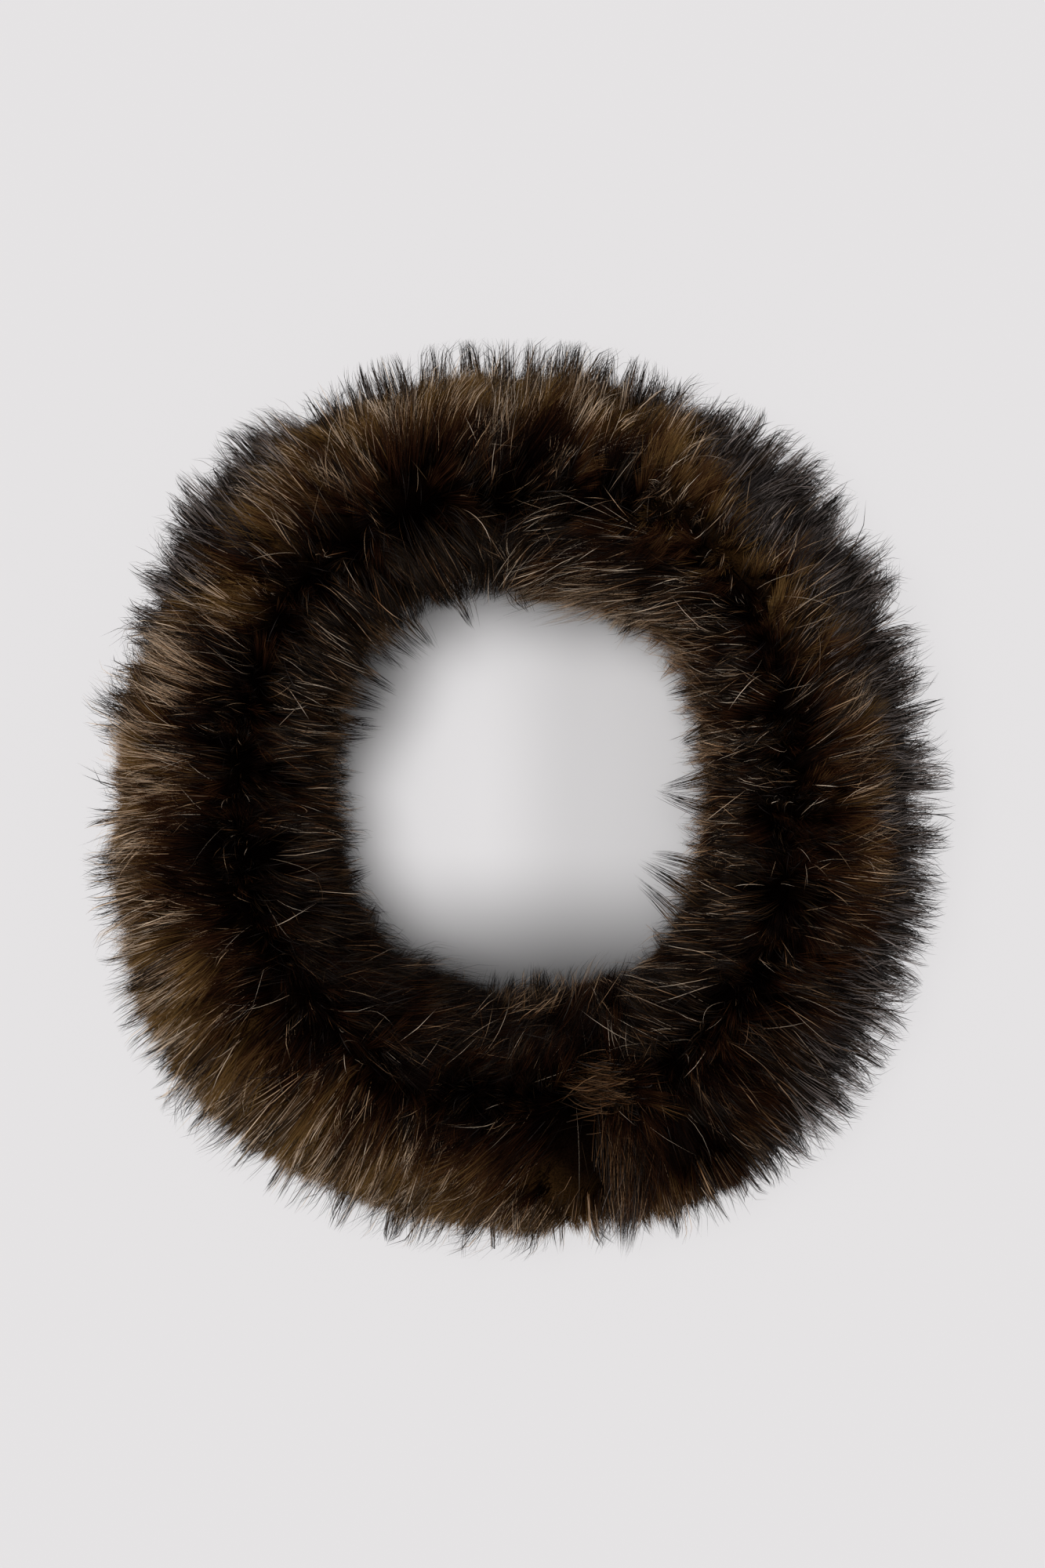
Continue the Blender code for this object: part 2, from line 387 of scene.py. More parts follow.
# How the fur changes from place to place: where it parts, the way it is swept, slowly and in small
# ruffles, how long it is, how golden it is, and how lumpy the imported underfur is
PARTING = waves(3, 14, 1)
SWEEPING = waves(5, 12, 2)
RUFFLING = waves(6, 34, 5, 20)
SWELLING = waves(8, 22, 3, 18)
GILDING = waves(4, 24, 3)
LUMPS = waves(11, 60, 16, 24)


def thickness(azimuth, turn):
    """How close the hair stands: thin underneath, where the floor crushes it, thick on top."""
    low = 0.15 + 0.85 * smooth_step(np.sin(turn), -0.85, -0.3)
    return low + 0.5 * smooth_step(np.sin(turn), 0.2, 0.8)


def scatter(rng, count):
    """Azimuths and turns of count roots, as close together as the fur is thick there."""
    tries = 7 * count  # because most of them are refused where the fur is thin
    azimuth = rng.uniform(0, TAU, tries)
    turn = rng.uniform(0, TAU, tries)
    room = COAT.out(azimuth, turn, 0.0) * COAT.radius(azimuth, turn, 0.0)
    room *= thickness(azimuth, turn)
    kept = np.flatnonzero(rng.uniform(0, room.max(), tries) < room)[:count]
    return azimuth[kept], turn[kept]


def nearest_lock(rng, azimuth, turn, spacing):
    """The middle of the lock that each root belongs to, and the lock's number."""
    ring = TAU * float(COAT.centre.mean())
    girth = TAU * float(COAT.cloth.mean())
    rows, columns = round(ring / spacing), round(girth / spacing)
    uneven = 0.42  # of the spacing
    shift = rng.uniform(-uneven, uneven, (rows, columns, 2))
    row, column = np.floor(azimuth / TAU * rows), np.floor(turn / TAU * columns)
    best = np.full(len(azimuth), np.inf)
    middle = np.zeros((len(azimuth), 2))
    number = np.zeros(len(azimuth), int)
    for step_row in (-1, 0, 1):
        for step_column in (-1, 0, 1):
            r, c = row + step_row, column + step_column
            at = ((r % rows).astype(int), (c % columns).astype(int))
            lock_azimuth = (r + 0.5 + shift[at][:, 0]) / rows * TAU
            lock_turn = (c + 0.5 + shift[at][:, 1]) / columns * TAU
            apart = ((lock_azimuth - azimuth) * rows) ** 2 + ((lock_turn - turn) * columns) ** 2
            closer = apart < best
            best = np.where(closer, apart, best)
            middle[closer] = np.stack([lock_azimuth, lock_turn], axis=1)[closer]
            number[closer] = (at[0] * columns + at[1])[closer]
    return middle[:, 0], middle[:, 1], number


def by_azimuth(azimuth, column):
    """A column of COMBING at these azimuths."""
    stations = [row.azimuth for row in COMBING]
    return periodic(azimuth, stations, [getattr(row, column) for row in COMBING])


def by_turn(turn, column):
    """A column of NAP at these turns."""
    return periodic(turn, [row.turn for row in NAP], [getattr(row, column) for row in NAP])


def neck_side(turn):
    """0 on the outer side and 1 on the neck side, easing over the top seam."""
    return smooth_step(-np.cos(turn), -0.15, 0.15)


def over_the_seam(turn, outer, neck):
    """The outer side's value, easing over the top seam to the neck side's."""
    share = neck_side(turn)
    return outer * (1 - share) + neck * share


def across_sides(azimuth, turn, outer, neck):
    """The value of one column of COMBING on the outer side and of another on the neck side."""
    return over_the_seam(turn, by_azimuth(azimuth, outer), by_azimuth(azimuth, neck))


def underfur_reach(azimuth, turn):
    """How far the underfur stands, as a share of the pile's depth."""
    filled = over_the_seam(turn, by_azimuth(azimuth, "velvet"), NECK_VELVET)
    return across_sides(azimuth, turn, "body", "hole") * filled


def room_at(azimuth, turn, depth):
    """How far out from the ring's axis each spot is, and how far from the tube's middle."""
    return COAT.out(azimuth, turn, depth), COAT.radius(azimuth, turn, depth)


def apart_from(place, azimuth, turn, room):
    """How far each spot is from a whorl or crease, in metres round the ring and over the tube."""
    around = (azimuth - math.radians(place.azimuth) + math.pi) % TAU - math.pi
    over = (turn - math.radians(place.turn) + math.pi) % TAU - math.pi
    return around * room[0], over * room[1]


def parting_shade(azimuth, turn):
    """How much painted shadow darkens the hair here, where it is parted down to its dark roots,
    from 0 to 1.
    """
    bare = np.zeros_like(azimuth)
    room = room_at(azimuth, turn, 0.5)
    for whorl in WHORLS:
        near = np.hypot(*apart_from(whorl, azimuth, turn, room)) / (BARE_SHARE * whorl.size * MM)
        bare = np.maximum(bare, min(1, whorl.push / FULL_PUSH) * np.exp(-(near**2)))
    return bare


def combed(azimuth, turn):
    """The slide of a hair's tip in metres, along the turn and round the ring."""
    sweep = across_sides(azimuth, turn, "outer_sweep", "neck_sweep")
    sweep += 10 * SWEEPING(azimuth, turn) + 11 * RUFFLING(azimuth, turn)  # degrees
    sweep = np.radians(sweep) * smooth_step(np.sin(turn), -0.6, 0.1)
    # The line where the hair falls to one side or to the other wanders along the top seam.
    wander = np.radians(11) * PARTING(azimuth, 0 * azimuth) * smooth_step(np.sin(turn), 0.0, 0.8)
    slide = by_turn(turn + wander, "slide") * MM * (1 + 0.8 * np.sin(sweep) ** 2)
    along, round_ring = slide * np.cos(sweep), np.abs(slide) * np.sin(sweep)
    room = room_at(azimuth, turn, 0.5)
    for whorl in WHORLS:
        around, over = apart_from(whorl, azimuth, turn, room)
        apart = np.hypot(around, over) + 1e-6
        push = whorl.push * MM * np.exp(-((apart / (whorl.size * MM)) ** 2))
        push *= smooth_step(apart, 0.0, 3 * MM)
        along += push * over / apart
        round_ring += push * around / apart
    return along, round_ring


def gilded_and_shaded(azimuth, turn):
    """How golden the hair rooted here is, from 0 to about 1: partly its dye and partly painted
    light and shade, darker on top, on the neck side, in the partings and on the side away from the
    lamp.
    """
    # The gold sits higher on the tube where there is a grey skirt under it.
    skirt = np.maximum(by_azimuth(azimuth, "skirt"), 0) * (1 - neck_side(turn))
    lifted = turn - np.radians(0.45 * skirt)
    gold = by_turn(lifted + np.radians(9) * GILDING(azimuth, turn), "gold")
    toned_and_lit = gold * across_sides(azimuth, turn, "outer_tone", "neck_tone")
    # Where the underfur reaches the edge, its rim is golden whatever the tone of the hair.
    rim = smooth_step(np.cos(lifted - np.radians(4)), 0.80, 0.98)
    velvet = 0.75 * rim * smooth_step(by_azimuth(azimuth, "velvet"), 0.935, 0.97)
    return np.maximum(toned_and_lit, velvet) * (1 - ROOT_SHADOW * parting_shade(azimuth, turn))


def under_the_skirt(rng, azimuth, turn):
    """Which hairs are rooted low enough on the outer side to be grey with black tips."""
    degrees = (np.degrees(turn) + 90) % 360 - 90
    line = degrees - by_azimuth(azimuth, "skirt") - 4 * SWEEPING(azimuth, turn)
    return (line + rng.normal(0, 3, len(azimuth)) < 0) & (degrees < 88)


# Kinds of hair. first is how far up it starts to show, and steps how many pieces it has from
# there. spread is how uneven its depth is. tuft and lock are the spacings of tufts and of locks,
# in metres. clump and gather say how far the hairs of a tuft draw together, and the tufts of a
# lock, at their tips. stray is the share of hairs that cross the rest, and bow how far a hair
# curves aside, in metres.
Hair = namedtuple("Hair", "steps first spread tuft clump lock gather stray bow")
UNDERFUR = Hair(1, 0.5, 0.055, 2.5 * MM, 0.45, 8 * MM, 0.15, 0.0, 0.0)
GUARD_HAIR = Hair(3, 0.3, 0.08, 3 * MM, 0.68, 11 * MM, 0.5, 0.03, 1.5 * MM)
LOOSE_HAIR = Hair(6, 0.3, 0.08, 7 * MM, 0.3, 16 * MM, 0.1, 0.4, 3 * MM)

# How much lock differs from lock, tuft from tuft and hair from hair: in depth, in direction, in
# the length of the slide, and in how the tousle is shared out
Uneven = namedtuple("Uneven", "lock tuft hair")
DEPTHS = Uneven(0.7, 0.7, 0.6)
DIRECTIONS = Uneven(7, 7, 5)  # degrees
SLIDES = Uneven(0.12, 0.1, 0.08)
TOUSLES = Uneven(0.8, 0.6, 0.2)


def varied(uneven, by_lock, by_tuft, own):
    """The sum of a lock's, a tuft's and a hair's own share."""
    return uneven.lock * by_lock + uneven.tuft * by_tuft + uneven.hair * own


def shared(draw, group, *shape):
    """One random draw for each lock or tuft, given to all of its hairs."""
    return draw((group.max() + 1, *shape))[group]


def grow(rng, hair, azimuth, turn, reach):
    """Points along each hair up to its tip, as an array of hairs by points by 3, and the numbers
    of the hairs' locks and tufts."""
    count = len(azimuth)
    tuft_azimuth, tuft_turn, tuft = nearest_lock(rng, azimuth, turn, hair.tuft)
    lock_azimuth, lock_turn, lock = nearest_lock(rng, tuft_azimuth, tuft_turn, hair.lock)
    by_lock = shared(rng.standard_normal, lock, 6)
    by_tuft = shared(rng.standard_normal, tuft, 6)
    own = rng.normal(0, 1, (count, 6))

    uneven = varied(DEPTHS, by_lock[:, 0], by_tuft[:, 0], own[:, 0])
    swell = 1 + 0.09 * SWELLING(lock_azimuth, lock_turn) * smooth_step(np.sin(turn), -0.1, 0.5)
    depth = np.clip(reach * swell * (1 + hair.spread * uneven), 0.25, 1.5)

    along, round_ring = combed(0.6 * lock_azimuth + 0.4 * azimuth, 0.6 * lock_turn + 0.4 * turn)
    veer = np.radians(varied(DIRECTIONS, by_lock[:, 1], by_tuft[:, 1], own[:, 1]))
    astray = rng.random(count) < hair.stray
    veer += astray * np.radians(30) * own[:, 2]
    stretch = 1 + varied(SLIDES, by_lock[:, 2], by_tuft[:, 2], own[:, 3])
    along, round_ring = (
        (along * np.cos(veer) - round_ring * np.sin(veer)) * stretch,
        (along * np.sin(veer) + round_ring * np.cos(veer)) * stretch,
    )
    tousle = by_turn(turn, "tousle") * MM
    loose = TOUSLES._replace(hair=TOUSLES.hair + astray)
    along += tousle * varied(loose, by_lock[:, 3], by_tuft[:, 3], own[:, 4])
    round_ring += tousle * varied(loose, by_lock[:, 4], by_tuft[:, 4], own[:, 5])

    # A hair rises out of the cloth first and lies over after that: less on top, and less where it
    # stands out past the rest.
    share = np.linspace(hair.first, 1, hair.steps + 1)[None, :]
    lie = 2.3 - 0.8 * smooth_step(np.sin(turn), 0.6, 0.95) - 0.7 * smooth_step(depth, 1.1, 1.3)
    rise = 1 - (1 - share) ** lie[:, None]
    slip = share**1.4
    tight = 0.3 * by_lock[:, 5]
    clump = share**1.2 * (hair.clump + tight + 0.15 * by_tuft[:, 5]).clip(0.1, 0.97)[:, None]
    gather = share**2.2 * (hair.gather + tight).clip(0, 0.92)[:, None]
    arch = 4 * share * (1 - share)
    bow = shared(rng.standard_normal, tuft, 2) + 0.3 * rng.normal(0, 1, (count, 2))
    bow *= hair.bow
    out, radius = room_at(lock_azimuth, lock_turn, depth)
    slide_turn, bow_turn = (along / radius)[:, None], (bow[:, 0] / radius)[:, None]
    slide_azimuth, bow_azimuth = (round_ring / out)[:, None], (bow[:, 1] / out)[:, None]
    path_turn = turn[:, None] + slide_turn * slip + bow_turn * arch
    path_turn += (tuft_turn - turn)[:, None] * clump + (lock_turn - tuft_turn)[:, None] * gather
    path_azimuth = azimuth[:, None] + slide_azimuth * slip + bow_azimuth * arch
    path_azimuth += (tuft_azimuth - azimuth)[:, None] * clump
    path_azimuth += (lock_azimuth - tuft_azimuth)[:, None] * gather
    return COAT.point(path_azimuth, path_turn, depth[:, None] * rise), lock, tuft


# The root of a standing tuft: its place in the coat, with the angles in degrees, and how far out
# from the ring's axis it is
Root = namedtuple("Root", "azimuth turn depth out")
TUFT_POINTS = 7  # along each of its hairs
TUFT_LOCK = 24  # hairs to a lock
TUFT_LOWEST = 0.6 * MM  # over the floor


def standing_tuft(rng, count, root, tip, spread, fan, arch):
    """Points of count hairs that rise from round one place of the coat and run side by side, in
    locks, to one tip, where they are fan times as far apart."""
    azimuth = math.radians(root.azimuth) + rng.normal(0, spread / root.out, count)
    turn = math.radians(root.turn) + rng.normal(0, spread / (40 * MM), count)
    start = COAT.point(azimuth, turn, np.full(count, root.depth))
    lock = rng.integers(0, 1 + count // TUFT_LOCK, count)
    by_lock = shared(rng.standard_normal, lock, 2, 3)
    own = rng.normal(0, 1, (count, 2, 3))
    beside = 0.6 * fan * (start - start.mean(axis=0))
    beside += spread * (0.45 * by_lock[:, 0] + 0.16 * own[:, 0])
    stop = np.array(tip) + beside * (1, 1, 0.4)
    stop = start + (stop - start) * rng.uniform(0.72, 1.04, count)[:, None]
    share = np.linspace(0, 1, TUFT_POINTS)[None, :, None]
    path = start[:, None] * (1 - share) + stop[:, None] * share
    bow = 0.3 * spread * by_lock[:, 1] + 0.12 * spread * own[:, 1] + np.array([0, 0, arch])
    path += bow[:, None] * 4 * share * (1 - share)
    path[..., 2] = np.maximum(path[..., 2], TUFT_LOWEST)
    return path


def ribbons(rng, points, width):
    """The vertices of a pointed ribbon along each hair. Most face out of the coat, and one in five
    is twice as wide, as hairs are that cling together."""
    hairs, stops, _ = points.shape
    along = np.gradient(points, axis=1)
    along /= np.linalg.norm(along, axis=2, keepdims=True) + 1e-12
    flat = points[..., :2] - COAT.axis
    azimuth = np.arctan2(flat[..., 1], flat[..., 0])
    centre = COAT.spot(azimuth, COAT.centre_at(azimuth), COAT.middle)
    outwards = points - centre
    outwards /= np.linalg.norm(outwards, axis=2, keepdims=True)
    side = np.cross(along, outwards)
    side /= np.linalg.norm(side, axis=2, keepdims=True) + 1e-9
    face = np.cross(side, along)
    roll = rng.normal(0, 0.6, hairs)[:, None, None]
    side = side * np.cos(roll) + face * np.sin(roll)
    taper = 1 - np.linspace(0, 1, stops) ** 3
    breadth = width * rng.uniform(0.6, 1, hairs) * np.where(rng.random(hairs) < 0.2, 2, 1)
    half = breadth[:, None, None] / 2 * taper[None, :, None]
    left = (points - side * half)[:, :-1]
    right = (points + side * half)[:, :-1]
    pairs = np.stack([left, right], axis=2).reshape(hairs, -1, 3)
    return np.concatenate([pairs, points[:, -1:]], axis=1)


def hair_mesh(name, rng, points, width, shade):
    """A mesh of ribbons, filled from whole arrays because it has far too many for an operator to
    make. Its map has the hair's shade across and the way from root to tip up."""
    vertices = ribbons(rng, points, width)
    hairs, per_hair, _ = vertices.shape
    steps = points.shape[1] - 1
    corners = [2 * step + side for step in range(steps - 1) for side in (0, 1, 3, 2)]
    corners = np.array(corners + [2 * steps - 2, 2 * steps - 1, 2 * steps])
    all_corners = (corners + np.arange(hairs)[:, None] * per_hair).ravel()
    all_starts = (4 * np.arange(steps) + np.arange(hairs)[:, None] * len(corners)).ravel()

    mesh = bpy.data.meshes.new(name)
    mesh.vertices.add(hairs * per_hair)
    mesh.vertices.foreach_set("co", vertices.astype(np.float32).ravel())
    mesh.loops.add(len(all_corners))
    mesh.loops.foreach_set("vertex_index", all_corners.astype(np.int32))
    mesh.polygons.add(len(all_starts))
    mesh.polygons.foreach_set("loop_start", all_starts.astype(np.int32))
    mesh.update(calc_edges=True)

    across = np.append(np.tile([-1.0, 1.0], steps), 0.0)
    breadth = 0.0004  # of the map, so that a hair's two edges aren't one line there
    place = np.zeros((hairs, per_hair, 2))
    place[..., 0] = np.clip(shade, 0.001, 0.999)[:, None] + across * breadth
    place[..., 1] = np.append(np.repeat(np.arange(steps) / steps, 2), 1.0)
    chart = mesh.uv_layers.new(name="OFBake")
    chart.data.foreach_set("uv", place.reshape(-1, 2)[all_corners].astype(np.float32).ravel())
    mesh.shade_smooth()
    return mesh


def placed(name, data):
    """A new object in the scene."""
    made = bpy.data.objects.new(name, data)
    bpy.context.scene.collection.objects.link(made)
    return made


def show(mesh, material):
    """Makes a finished mesh a piece of the collar."""
    mesh.materials.append(material)
    piece = placed(mesh.name, mesh)
    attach(piece, BODY)
    return piece


def new_material(name, values):
    """A material with these values on its shader's sockets, its node tree and those sockets."""
    material = bpy.data.materials.new(name)
    material.use_nodes = True
    sockets = material.node_tree.nodes["Principled BSDF"].inputs
    for socket, value in values.items():
        sockets[socket].default_value = value
    return material, material.node_tree, sockets


def shaded(tree, kinds):
    """The colour of a hair from its map: for each shade in kinds a ramp from root to tip, mixed
    in between."""
    chart = node(tree, "UVMap", uv_map="OFBake")
    shade, way = node(tree, "SeparateXYZ", links={0: chart.outputs[0]}).outputs[:2]
    colour, place = None, None
    for at, stops in kinds:
        ramp = node(tree, "ValToRGB", links={0: way})
        set_ramp(ramp, [(stop, linear(tint)) for stop, tint in stops])
        if colour is None:
            colour = ramp.outputs[0]
        else:
            share = node(tree, "MapRange", {"From Min": place, "From Max": at}, {"Value": shade})
            feeds = {0: share.outputs[0], 6: colour, 7: ramp.outputs[0]}
            colour = node(tree, "Mix", links=feeds, data_type="RGBA").outputs[2]
        place = at
    return colour


def modacrylic_underfur():
    """Fine crimped modacrylic, dyed darker at the root, and its near-black roots also paint the
    shade deep in the pile. Matt and dense, so the eye sees velvet: black deep down, red-brown
    above, golden at the edge."""
    values = {"Roughness": 0.8, "Specular IOR Level": 0.0}
    material, tree, sockets = new_material("modacrylic_underfur", values)
    kinds = (
        (0.08, ((0.0, "#060404"), (0.5, "#241F1E"), (1.0, "#45403E"))),  # grey
        (0.25, ((0.0, "#010000"), (0.6, "#080302"), (1.0, "#120804"))),  # black
        (0.60, ((0.0, "#040100"), (0.4, "#200F08"), (1.0, "#4A2E1C"))),  # red-brown
        (0.95, ((0.0, "#1A1006"), (0.35, "#443018"), (1.0, "#84653C"))),  # golden
    )
    tree.links.new(shaded(tree, kinds), sockets["Base Color"])
    return material


def modacrylic_guard_hair():
    """Thick smooth modacrylic, heat-set straight, with dyed black tips and dark roots, which also
    paint the shade between the hairs. Each fibre is a little glossy, but the pale streaks where it
    lies across the light are mostly painted highlights, tan and silver hairs, and the edge shows
    ink-black points."""
    values = {"Roughness": 0.36, "Specular IOR Level": 0.045, "Specular Tint": linear("#FFEBD6")}
    material, tree, sockets = new_material("modacrylic_guard_hair", values)
    kinds = (  # grey, black, banded, brown, tan and silver
        (0.06, ((0.0, "#060505"), (0.3, "#625955"), (0.55, "#857A76"), (0.76, "#060505"))),
        (0.22, ((0.0, "#010000"), (0.5, "#090503"), (1.0, "#030202"))),
        (0.38, ((0.0, "#120A04"), (0.25, "#6A4E34"), (0.5, "#7E6248"), (0.66, "#080505"))),
        (0.54, ((0.0, "#020100"), (0.3, "#2C180A"), (0.6, "#5A3A22"), (0.88, "#060404"))),
        (0.76, ((0.0, "#080401"), (0.3, "#6E4A2C"), (0.62, "#C8A684"), (0.92, "#2A1C12"))),
        (0.98, ((0.0, "#2A1D14"), (0.3, "#BCA48C"), (0.75, "#E0CFBC"), (1.0, "#8A7260"))),
    )
    tree.links.new(shaded(tree, kinds), sockets["Base Color"])
    return material


def knitted_backing(colour):
    """Warp-knitted polyester, brushed and dyed dark, that the pile is rooted in: matt and even,
    with a grain about as fine as its stitches."""
    material, tree, sockets = new_material("knitted_backing", {"Roughness": 0.9})
    place = node(tree, "TexCoord").outputs["Object"]
    values = {"Scale": 1 / KNIT_STITCH, "Detail": 2.0}
    grain = node(tree, "TexNoise", values, {"Vector": place}).outputs["Fac"]
    tint = node(tree, "ValToRGB", links={0: grain})
    set_ramp(tint, [(0.35, linear("#1A130F")), (0.7, colour)])
    tree.links.new(tint.outputs[0], sockets["Base Color"])
    return material


def packed_underfur():
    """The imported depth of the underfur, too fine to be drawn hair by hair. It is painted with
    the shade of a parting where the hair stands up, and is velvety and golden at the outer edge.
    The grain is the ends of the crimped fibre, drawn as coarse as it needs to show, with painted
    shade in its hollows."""
    values = {"Roughness": 1.0, "Specular IOR Level": 0.0}
    material, tree, sockets = new_material("packed_underfur", values)
    shade = node(tree, "Attribute", attribute_name="shade").outputs["Fac"]
    place = node(tree, "TexCoord").outputs["Object"]
    values = {"Scale": 1 / PACKED_GRAIN, "Detail": 3.0, "Roughness": 0.7}
    grain = node(tree, "TexNoise", values, {"Vector": place}).outputs["Fac"]
    values = {"From Min": 0.35, "From Max": 0.65, "To Min": 0.25, "To Max": 1.0}
    depth = node(tree, "MapRange", values, {"Value": grain})
    tint = node(tree, "ValToRGB", links={0: shade})
    stops = ((0.08, "#1A1412"), (0.25, "#030101"), (0.6, "#130A05"), (0.95, "#3E2A15"))
    set_ramp(tint, [(at, linear(colour)) for at, colour in stops])
    # Painted shade: darker in the hollows of the grain
    feeds = {6: tint.outputs[0], 7: depth.outputs[0]}
    hollow_shaded = node(tree, "Mix", {0: 1.0}, feeds, data_type="RGBA", blend_type="MULTIPLY")
    tree.links.new(hollow_shaded.outputs[2], sockets["Base Color"])
    values = {"Distance": PACKED_GRAIN, "Strength": 0.8}
    bump = node(tree, "Bump", values, {"Height": grain})
    tree.links.new(bump.outputs[0], sockets["Normal"])
    return material


def lit_board(colour):
    """A white board, lit from below outside the collar as a light table is, so that the collar
    throws hardly any shadow there. In the neck hole it is plain board with painted shadow: darker
    towards the front, a little darker to the right, and darker at the back left, where the fur
    hangs over it."""
    values = {"Emission Color": colour, "Roughness": 0.9, "Specular IOR Level": 0.0}
    material, tree, sockets = new_material("lit_board", values)
    place = node(tree, "TexCoord").outputs["Object"]
    axes = node(tree, "SeparateXYZ", links={0: place})
    away = node(tree, "VectorMath", operation="LENGTH", links={0: place})
    to_shadow_spot = node(tree, "VectorMath", {1: PAINTED_SHADOW_SPOT}, {0: place}, operation="DISTANCE")
    # The first eases the glow in from the collar's outer edge; the others are painted shadow in
    # the neck hole: darker towards the front, to the right and round the spot at the back left
    eased = []
    for source, low, high, first, last in (
        (away.outputs["Value"], 0.125, 0.165, 0.0, 1.0),
        (axes.outputs[1], -0.02, -0.095, 1.0, 0.15),
        (axes.outputs[0], -0.02, 0.03, 1.0, 0.84),
        (to_shadow_spot.outputs["Value"], 0.0, 0.055, 0.45, 1.0),
    ):
        span = {"From Min": low, "From Max": high, "To Min": first, "To Max": last}
        step = node(tree, "MapRange", span, {"Value": source}, interpolation_type="SMOOTHSTEP")
        eased.append(step.outputs[0])
    glow, shade, *others = eased
    for other in others:
        step = node(tree, "Math", operation="MULTIPLY", links={0: shade, 1: other})
        shade = step.outputs[0]
    values = {0: 1.0, 6: colour}
    inside = node(tree, "Mix", values, {7: shade}, data_type="RGBA", blend_type="MULTIPLY")
    # Outside, the board is dark and glows instead, because a pale one would also show shadows.
    values = {7: [BOARD_PAINT * part for part in colour[:3]] + [1.0]}
    feeds = {0: glow, 6: inside.outputs[2]}
    board = node(tree, "Mix", values, feeds, data_type="RGBA")
    tree.links.new(board.outputs[2], sockets["Base Color"])
    strength = node(tree, "Math", {1: BOARD_GLOW}, {0: glow}, operation="MULTIPLY")
    tree.links.new(strength.outputs[0], sockets["Emission Strength"])
    return material


def coat_places(shape):
    """Azimuth, turn and depth of each vertex of a bmesh."""
    spots = np.array([vertex.co for vertex in shape.verts])
    flat = spots[:, :2] - COAT.axis
    azimuth = np.arctan2(flat[:, 1], flat[:, 0])
    out, up = np.hypot(*flat.T) - COAT.centre_at(azimuth), spots[:, 2] - COAT.middle
    turn = np.arctan2(up, out)
    cloth = COAT.read(COAT.cloth, azimuth, turn)
    tips = COAT.read(COAT.tips, azimuth, turn)
    return azimuth, turn, (np.hypot(out, up) - cloth) / (tips - cloth)


def pushed_ends(shape):
    """For each vertex on the flat ends of a piece of the ring, the step that takes it past the
    join, so that no light comes through between the two ends."""
    end_on = 0.97  # how far a face has to look along the ring
    shape.normal_update()
    steps = {}
    for face in shape.faces:
        middle = face.calc_center_median()
        tangent = Vector((COAT.axis[1] - middle.y, middle.x - COAT.axis[0], 0)).normalized()
        if abs(face.normal.dot(tangent)) > end_on:
            for vertex in face.verts:
                steps[vertex.index] = face.normal * MM
    return steps


def creased(shape):
    """Presses soft troughs into both faces of a strip of cloth."""
    azimuth, turn, _ = coat_places(shape)
    pressed = np.zeros(len(azimuth))
    room = room_at(azimuth, turn, 0.0)
    for crease in CREASES:
        around, over = apart_from(crease, azimuth, turn, room)
        aslant = around - over * math.tan(math.radians(crease.slant))
        along = np.exp(-((over / (crease.length * MM / 2)) ** 2))
        pressed += crease.depth * MM * along * np.exp(-((aslant / (crease.width * MM / 2)) ** 2))
    for vertex, place, up, deep in zip(shape.verts, azimuth, turn, pressed):
        vertex.co -= off_the_tube(place, up) * deep


def merged_copy(source):
    """A bmesh of a node of the frame, with its loose triangles joined."""
    shape = bmesh.new()
    shape.from_mesh(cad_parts[source].data)
    bmesh.ops.remove_doubles(shape, verts=shape.verts[:], dist=0.01 * MM)
    return shape


def finished(shape, name):
    """The mesh of a finished bmesh, shaded smooth."""
    mesh = bpy.data.meshes.new(name)
    shape.to_mesh(mesh)
    shape.free()
    mesh.shade_smooth()
    return mesh


class CollarSettings(bpy.types.PropertyGroup):
    backing_colour: FloatVectorProperty(
        name="Backing colour",
        description="Colour of the knitted cloth that the pile is rooted in",
        default=linear(BACKING_COLOUR),
        size=4,
        subtype="COLOR",
    )
    floor_colour: FloatVectorProperty(
        name="Floor colour",
        description="Colour of the board that the collar lies on",
        default=linear(FLOOR_COLOUR),
        size=4,
        subtype="COLOR",
    )
    guard_hairs: IntProperty(
        name="Guard hairs", description="Long hairs over the whole collar", default=108000, min=10
    )
    underfur_hairs: IntProperty(
        name="Underfur", description="Short fine hairs between them", default=370000, min=10
    )
    loose_hairs: IntProperty(
        name="Loose hairs", description="Single hairs that cross the rest", default=1800, min=10
    )
    guard_width: FloatProperty(
        name="Guard hair width",
        description="Width of a guard hair at its root, drawn wider than real so that it shows",
        default=0.17 * MM,
        min=0.1 * MM,
        unit="LENGTH",
    )
    underfur_width: FloatProperty(
        name="Underfur width",
        description="Width of an underfur hair at its root",
        default=0.4 * MM,
        min=0.1 * MM,
        unit="LENGTH",
    )


class COLLAR_OT_cloth(bpy.types.Operator):
    """Make the two strips of knitted backing that form the tube"""

    bl_idname = "collar.cloth"
    bl_label = "Cloth tube"

    def execute(self, context):
        material = knitted_backing(context.scene.collar.backing_colour)
        for name, source in (("outer_cloth", OUTER_PANEL), ("neck_cloth", NECK_PANEL)):
            shape = merged_copy(source)
            bmesh.ops.subdivide_edges(
                shape, edges=shape.edges[:], cuts=1, smooth=0.4, use_grid_fill=True
            )
            creased(shape)
            piece = show(finished(shape, name), material)
            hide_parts(source)
        return {"FINISHED"}


